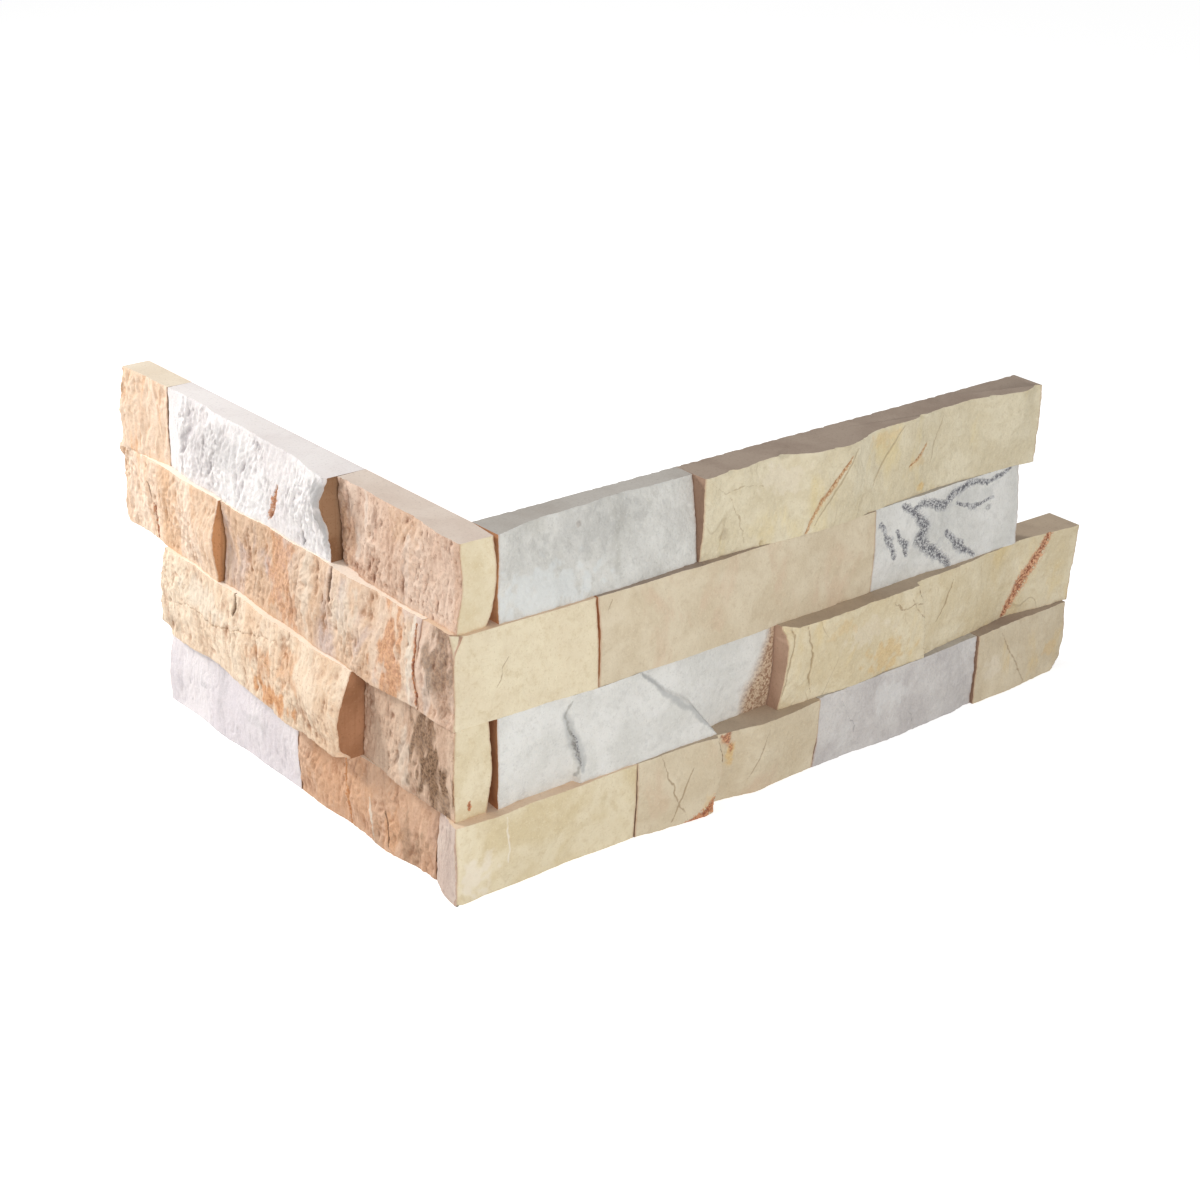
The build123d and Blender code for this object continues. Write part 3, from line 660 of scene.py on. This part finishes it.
# Stones, with places in mm along their wing from the corner and up from the foot. A stone whose near
# end shows past the corner has a lap; one that butts against such a lap is turned.
STONES = {
    "a_short_1": dict(
        slot="tan_limestone", bed="pale", end="tan", strength=0.75, tilt=0.0,
        look=dict(GOLD, streak=(224, 174, 132), streaks=0.9, streak_mm=8),
        chips=((241, 111, 9, 9, -1.8),),
    ),
    "a_short_2": dict(
        slot="white_marble", look=SPLIT_WHITE, bed="white", end="dim", tilt=0.2,
        lines=(
            ("orange", 1.3, 2.2, ((110, 134), (113, 125), (118, 117))),
            ("crack", 1.1, 1.6, ((91, 120), (91, 114))),
        ),
        patches=(
            ("shade", 73, 143, 7, 9, 1.0), ("shade", 72, 128, 5, 14, 1.0),
            ("shade", 160, 134, 26, 12, 0.4),
        ),
        chips=((193, 140, 1.4, 2.0, 1.4), (73, 139, 9, 13, -3.0)),
        near_loss=(1.0, 1.4, 1.8, 1.2, 1.6),
        smooth=((198, 8, 0.85), (110, 9, 0.5)),
    ),
    "a_short_3": dict(
        slot="tan_limestone", look=ROSY, bed="tan", end="tan", strength=1.3, tilt=0.05,
        patches=(
            # The first ash and orange patches, beside the end of a_short_2, paint the shadow that end
            # casts.
            ("ash", 68, 134, 3, 18, 0.45), ("orange", 63, 124, 6, 16, 0.45),
            ("pale", 51, 140, 2.2, 14, 0.7), ("pale", 55, 122, 2.2, 9, 0.6),
            ("pale", 18, 128, 1.8, 16, 0.5),
        ),
        lap=dict(strength=0.8), lap_look=dict(CREAM, deep=(212, 192, 152)),
        near_gap=(4.2, 1.9, 0.4, 0.0, 0.2, 1.0, 1.6), far_gap=(0.2, 0.3, 0.5, 0.3),
    ),
    "b_short_1": dict(
        slot="tan_limestone", look=GOLD, bed="ledge", end="amber",
        lines=(
            ("rust", 1.0, 1.6, ((214, 91), (215, 76))),
            ("ash", 0.8, 1.3, ((219, 101), (217, 94))),
        ),
        chips=((220, 109, 1.3, 1.6, 1.8), (245, 111, 13, 11, -2.0), (245, 90, 12, 26, -0.9)),
        near_gap=(1.6, 2.2, 2.0, 1.4, 0.2),
    ),
    "b_short_2": dict(
        slot="tan_limestone", look=MAUVE, bed="ledge", end="tan", strength=1.1, turned=True,
        lines=(
            ("ash", 1.2, 2.4, ((68, 112), (68, 98))),
            ("rust", 0.5, 0.8, ((6, 110), (5, 92), (4, 75))),
        ),
        patches=(
            ("orange", 107, 97, 10, 26, 0.65), ("orange", 98, 82, 8, 13, 0.6),
            ("orange", 22, 88, 9, 27, 0.85),
            ("pale", 56, 98, 8, 14, 0.5), ("pale", 8, 92, 3, 24, 0.8), ("pale", 84, 100, 5, 20, 0.5),
        ),
    ),
    "c_short_1": dict(
        slot="tan_limestone", bed="ledge", end="umber", strength=1.1, tilt=-0.15,
        look=dict(TAN, pale=(248, 228, 204), mid=(236, 206, 176), crack_mark=(184, 150, 116)),
        lines=(
            ("ash", 1.0, 1.6, ((143, 74), (142, 65))),
            ("crack", 0.25, 0.4, ((201, 51), (182, 55), (162, 53), (145, 57), (124, 63), (105, 67))),
            ("crack", 0.22, 0.3, ((116, 56), (105, 53), (98, 58))),
        ),
        patches=(
            ("orange", 104, 42, 17, 6, 1.0), ("orange", 114, 52, 12, 8, 0.6),
            ("orange", 92, 58, 10, 10, 0.5),
            ("pale", 168, 62, 16, 8, 0.6), ("ash", 196, 42, 8, 5, 0.3),
        ),
        chips=((206, 34, 9, 7, 5.0), (48, 34, 8, 5, 4.5)),
    ),
    "c_short_2": dict(
        slot="tan_limestone", look=DUSKY, bed="ledge", end="tan", strength=0.9, tilt=0.25,
        lap=dict(strength=0.8, lines=(("rust", 0.7, 0.3, ((-17, 38), (-16.5, 42))),)),
        lap_look=CREAM,
        patches=(
            ("ash", 0, 62, 12, 16, 0.85), ("ash", -7, 50, 16, 16, 1.0), ("ash", -13, 42, 10, 12, 0.7),
            ("pale", 14, 50, 5, 16, 0.5),
        ),
        near_gap=(4.6, 3.6, 2.7, 2.2, 2.4, 2.8, 3.4),
    ),
    "d_short_1": dict(
        slot="white_marble", look=LILAC_WHITE, bed="white", end="tan", strength=0.24,
        patches=(
            ("crystal", 172, 19, 3, 3, 0.3), ("shade", 131, 19, 14, 3, 0.3),
            ("shade", 158, 22, 4, 14, 0.25),
        ),
    ),
    "d_short_2": dict(
        slot="tan_limestone", look=AMBER, bed="ledge", end="tan", strength=0.9, turned=True,
        lines=(
            ("pale", 0.5, -0.3, ((38, 20), (36, 8), (35, 0))),
            ("orange", 0.7, 0.6, ((57, 30), (55, 14), (54, 0))),
            ("ash", 0.4, 0.6, ((28, 22), (27, 12), (25, 2))),
        ),
        patches=(
            ("orange", 62, 18, 26, 20, 0.25), ("orange", 24, 10, 8, 10, 0.4),
            ("ash", 12, 8, 9, 14, 0.45), ("ash", 33, 4, 5, 8, 0.3),
        ),
    ),
    "a_long_1": dict(
        slot="white_marble", look=GREY_WHITE, bed="grey", end="orange", nicked=True,
        turned=True, strength=2.0,
        patches=(
            ("ash", 44, 143, 1.8, 1.4, 0.35), ("pale", 22, 121, 30, 10, 0.85),
            ("shade", 52, 140, 30, 9, 0.3),
        ),
    ),
    "a_long_2": dict(
        slot="cream_limestone", look=GREY_CREAM, bed="cream", nicked=True,
        strength=2.0,
        lines=(
            ("rust", 0.9, 0.7, ((186, 144), (177, 134), (170, 127), (163, 113))),
            ("crack", 0.4, 0.3, ((190, 147), (183, 137), (175, 127), (168, 116))),
            ("crack", 0.45, 0.4, ((223, 148), (215, 139), (207, 130), (204, 125))),
            ("rust", 0.7, 0.4, ((240, 137), (236, 132), (229, 128))),
            ("crack", 0.3, 0.2, ((121, 138), (126, 128), (130, 116))),
            ("crack", 0.3, 0.2, ((252, 147), (246, 136), (243, 124))),
            ("crack", 0.25, 0.2, ((110, 147), (118, 140), (128, 142), (140, 139))),
        ),
        patches=(
            ("orange", 238, 116, 2.5, 2, 0.9), ("orange", 210, 145, 9, 4, 0.4),
            ("orange", 233, 128, 6, 3, 0.4),
            ("ash", 118, 123, 3.5, 3, 0.25), ("pale", 150, 140, 14, 7, 0.4),
        ),
        chips=(
            (139, 114, 1.2, 1.7, 3.0), (121, 151, 4, 3, 1.6), (152, 151, 5, 3, 1.8),
            (176, 151, 3, 3, 1.4),
            (236, 151, 4, 3, 1.4), (281, 151, 5, 3, 1.6), (308, 151, 3, 3, 1.4), (331, 150, 6, 4, 1.8),
        ),
    ),
    "b_long_1": dict(
        slot="cream_limestone", look=dict(CREAM, mid=(226, 212, 184)), bed="light",
        lap=dict(
            strength=0.9,
            patches=(
                ("ash", -11, 101, 12, 15, 0.7), ("ash", -14, 88, 9, 12, 0.35),
                ("pale", -4, 84, 3, 12, 0.7),
            ),
        ),
        lap_look=ROSY,
        lines=(("crack", 0.25, 0.2, ((3, 99), (0, 96), (-1, 91), (-3, 88))),), end="orange",
        corner_loss=(0.6, 0.1, 0.1, 0.2, 0.3, 3.8),
    ),
    "b_long_2": dict(
        slot="cream_limestone", look=BEIGE, bed="cream", strength=0.8,
        lines=(("crack", 0.25, 0.1, ((57, 111), (54, 106))),), end="orange",
        near_gap=(0.2, 0.5, 0.9, 1.2, 1.1, 0.6),
    ),
    "b_long_3": dict(
        slot="white_marble", look=WHITE, bed="grey", strength=1.3,
        patches=(
            ("crystal", 283, 97, 2.2, 1.5, 0.5), ("shade", 243, 96, 15, 10, 0.3),
            ("shade", 272, 104, 14, 5, 0.3),
        ),
        lines=(
            (
                "crystal", 1.6, 0.3,
                ((231, 107), (239, 109), (253, 104), (259, 108), (270, 111), (282, 109)),
            ),
            (
                "crystal", 2.3, 0.5,
                ((227, 110), (235, 104), (241, 98), (237, 92), (245, 85), (252, 81), (257, 75)),
            ),
            ("crystal", 1.7, 0.3, ((255, 91), (264, 83), (274, 76))),
            ("crystal", 1.2, 0.2, ((211, 105), (217, 96), (222, 87))),
            ("crystal", 1.3, 0.2, ((222, 99), (228, 92), (230, 86))),
            ("crystal", 0.8, 0.1, ((262, 104), (272, 99), (286, 101))),
            ("crystal", 1.0, 0.2, ((282, 108), (290, 110), (298, 112))),
        ),
    ),
    "c_long_1": dict(
        slot="white_marble", look=WHITE, bed="grey", end="orange", turned=True,
        strength=0.9,
        lines=(
            ("crack", 0.4, 0.1, ((35, 72), (32, 66), (34, 57), (38, 46), (37, 37))),
            ("shade", 1.3, 0.0, ((32, 66), (34, 57), (38, 48), (39, 40))),
            ("crystal", 0.5, 0.1, ((34, 58), (37, 50), (38, 42))),
            ("shade", 0.8, 0.0, ((73, 73), (85, 61), (97, 52), (104, 45), (112, 38))),
            ("sand", 4.0, -0.2, ((150, 74), (150, 34))), ("sand", 5.6, -0.2, ((149, 64), (145, 34))),
            ("sand", 4.8, -0.2, ((146, 54), (138, 34))),
        ),
        chips=((14, 56, 5, 9, 0.5), (84, 56, 9, 5, 0.5)),
    ),
    "c_long_2": dict(
        slot="cream_limestone", bed="sand", end="rose", strength=1.7,
        look=dict(
            CREAM, patch=(230, 206, 150), patches=0.5, hair=0.35,
            rust_mark=((138, 58, 28), (228, 176, 138)),
        ),
        lines=(
            ("rust", 2.2, 0.4, ((328, 76), (320, 62), (313, 53), (310, 46), (305, 36))),
            ("crack", 0.4, 0.3, ((259, 69), (257, 63), (255, 57), (250, 50))),
            ("ash", 0.5, 0.4, ((232, 74), (236.4, 64), (238.4, 54), (240.8, 44.5), (243, 35))),
            ("crack", 0.45, 0.4, ((153, 74), (154, 66), (152, 54), (151, 41))),
            ("crack", 0.45, 0.5, ((161, 73), (163, 66), (166, 58), (166, 46), (169, 38))),
            ("crack", 0.25, 0.2, ((226, 71), (232, 62), (238, 57))),
            ("crack", 0.25, 0.2, ((216, 70), (222, 64), (231, 66), (239, 61))),
        ),
        patches=(
            ("orange", 214, 44, 15, 8, 0.7), ("orange", 182, 66, 9, 4, 0.4),
            ("pale", 200, 60, 16, 6, 0.4),
        ),
        chips=((148, 75, 8, 9, 6.0),),
    ),
    "d_long_1": dict(
        slot="cream_limestone", look=dict(CREAM, mid=(220, 204, 168)), bed="light",
        lap=dict(strength=0.5), strength=0.9,
        lap_look=dict(
            pale=(226, 210, 198), mid=(208, 188, 176), deep=(172, 150, 142), crack_mark=(126, 108, 104),
        ),
        lines=(("pale", 0.5, -0.1, ((-2, 33), (-1, 24), (-1, 12))),),
        patches=(("pale", -17, 11, 9, 9, 0.8),), chips=((-29, 17, 5, 24, 2.0), (-29, 0, 6, 8, 3.0)),
    ),
    "d_long_2": dict(
        slot="cream_limestone", look=BEIGE, bed="sand", strength=1.5,
        lines=(
            ("crack", 0.35, 0.2, ((81, 35), (84, 26), (89, 13), (95, 1))),
            ("crack", 0.35, 0.2, ((98, 24), (92, 15), (87, 2))),
            ("ash", 0.4, 0.4, ((112, 34), (113.6, 27), (115, 18), (113, 9), (110, 0))),
            ("rust", 1.6, 0.3, ((113, 9), (109, 4), (103, 1), (94, -1))),
            ("crack", 0.25, 0.1, ((141, 30), (137, 18), (132, 8))),
        ),
        patches=(
            ("rust", 119, 31, 3.5, 6, 0.9), ("orange", 120, 26, 3, 6, 0.9),
            ("orange", 108, 5, 6, 4, 0.5),
        ),
    ),
    "d_long_3": dict(
        slot="white_marble", look=LILAC, bed="grey", strength=2.0,
        lines=(
            ("crack", 0.3, 0.2, ((234, 11), (238, 3))),
            ("crack", 0.22, 0.1, ((188, 30), (196, 16), (199, 6))),
        ),
        patches=(("pale", 221, 23, 12, 8, 0.8), ("pale", 190, 12, 8, 6, 0.5)),
    ),
    "d_long_4": dict(
        slot="cream_limestone", look=dict(BEIGE, patch=(224, 200, 152)), bed="cream",
        strength=1.6,
        lines=(("crack", 0.4, 0.3, ((297, 31), (304, 20), (310, 11), (316, 1))),),
        patches=(("orange", 334, 15, 5, 5, 0.5), ("pale", 292, 16, 6, 8, 0.4)),
        far_gap=(3.2, 0.9, 0.3, 0.2, 0.2, 0.2), chips=((345, -1, 9, 8, 4.0),),
    ),
}

for number, (node, stone) in enumerate(STONES.items()):
    piece = make_stone(node, stone, 11 + 7 * number)
    seed = 3.1 + 1.7 * number
    slots = piece.data.materials
    split = wing_of(node) == "short"
    slots.append(face_material(node + "_face", stone["look"], split, seed))
    slots.append(sawn_material(node + "_bed", *BEDS[stone["bed"]], seed))
    slots.append(sawn_material(node + "_end", *ENDS[stone.get("end", "brown")], seed))
    if "lap" in stone:
        slots.append(face_material(node + "_lap", stone["lap_look"], not split, seed + 40))


# Floor, white to the eye, and light.
FLOOR_GREY = 0.8  # how much light the floor returns
FLOOR_GLOW = 0.62  # what is added to it for the eye alone
SKY = 0.42  # light from all round, on the object
LAMP_COLOUR = (1.0, 0.985, 0.96)
LAMP_AIM = (0.08, 0.05, 0.07)


def seen_by_eye(tree):
    """1 for what the eye sees, also in a reflection or through glass, and 0 for light on the object."""
    path = tree.nodes.new("ShaderNodeLightPath").outputs
    seen = path["Is Camera Ray"]
    for ray in ("Is Glossy Ray", "Is Transmission Ray"):
        either = tree.nodes.new("ShaderNodeMath")
        either.operation = "MAXIMUM"
        tree.links.new(seen, either.inputs[0])
        tree.links.new(path[ray], either.inputs[1])
        seen = either.outputs[0]
    return seen


def pale_floor():
    bpy.ops.mesh.primitive_plane_add(size=12, location=(0, 0, 0))
    floor = bpy.context.object
    floor.name = "floor"
    g = Graph("floor")
    lit = g.add("ShaderNodeBsdfDiffuse")
    lit.inputs["Color"].default_value = (FLOOR_GREY, FLOOR_GREY, FLOOR_GREY, 1)
    glow = g.add("ShaderNodeEmission", Strength=g.maths("MULTIPLY", seen_by_eye(g.tree), FLOOR_GLOW))
    both = g.add("ShaderNodeAddShader")
    g.tree.links.new(lit.outputs[0], both.inputs[0])
    g.tree.links.new(glow.outputs[0], both.inputs[1])
    floor.data.materials.append(g.output(both.outputs[0]))


def lamp(name, place, size, power):
    data = bpy.data.lights.new(name, "AREA")
    data.shape = "DISK"
    data.size = size
    data.energy = power
    data.color = LAMP_COLOUR
    holder = bpy.data.objects.new(name, data)
    bpy.context.scene.collection.objects.link(holder)
    holder.location = place
    toward = Vector(LAMP_AIM) - Vector(place)
    holder.rotation_euler = toward.to_track_quat("-Z", "Y").to_euler()


def studio():
    lamp("left", (-0.42, 0.97, 0.62), 0.28, 10.5)
    lamp("front", (-0.30, -0.95, 0.42), 0.45, 5.2)
    air = bpy.data.worlds.new("world")
    bpy.context.scene.world = air
    air.use_nodes = True
    nodes, links = air.node_tree.nodes, air.node_tree.links
    strength = nodes.new("ShaderNodeMapRange")
    links.new(seen_by_eye(air.node_tree), strength.inputs["Value"])
    strength.inputs["To Min"].default_value = SKY
    strength.inputs["To Max"].default_value = 1.0
    background = nodes["Background"]
    background.inputs["Color"].default_value = (1, 1, 1, 1)
    links.new(strength.outputs["Result"], background.inputs["Strength"])


def camera_of_photo():
    """The camera that the photograph was taken with, found from the panel's own corners."""
    heading, pitch, roll = math.radians(40.45), math.radians(23.43), math.radians(1.85)
    level = math.cos(pitch)
    ahead = Vector((math.sin(heading) * level, math.cos(heading) * level, -math.sin(pitch)))
    right = Vector((math.cos(heading), -math.sin(heading), 0))
    up = right.cross(ahead)
    c, s = math.cos(roll), math.sin(roll)
    right, up = c * right + s * up, -s * right + c * up
    data = bpy.data.cameras.new("camera")
    data.sensor_width = 36
    data.lens = 81.45
    data.clip_start = 0.05
    data.clip_end = 50
    camera = bpy.data.objects.new("camera", data)
    bpy.context.scene.collection.objects.link(camera)
    turn = Matrix((right, up, -ahead)).transposed().to_4x4()
    turn.translation = Vector((-0.5970, -0.7787, 0.5433))
    camera.matrix_world = turn
    bpy.context.scene.camera = camera


pale_floor()
studio()
camera_of_photo()
bpy.context.scene.view_settings.view_transform = "Standard"
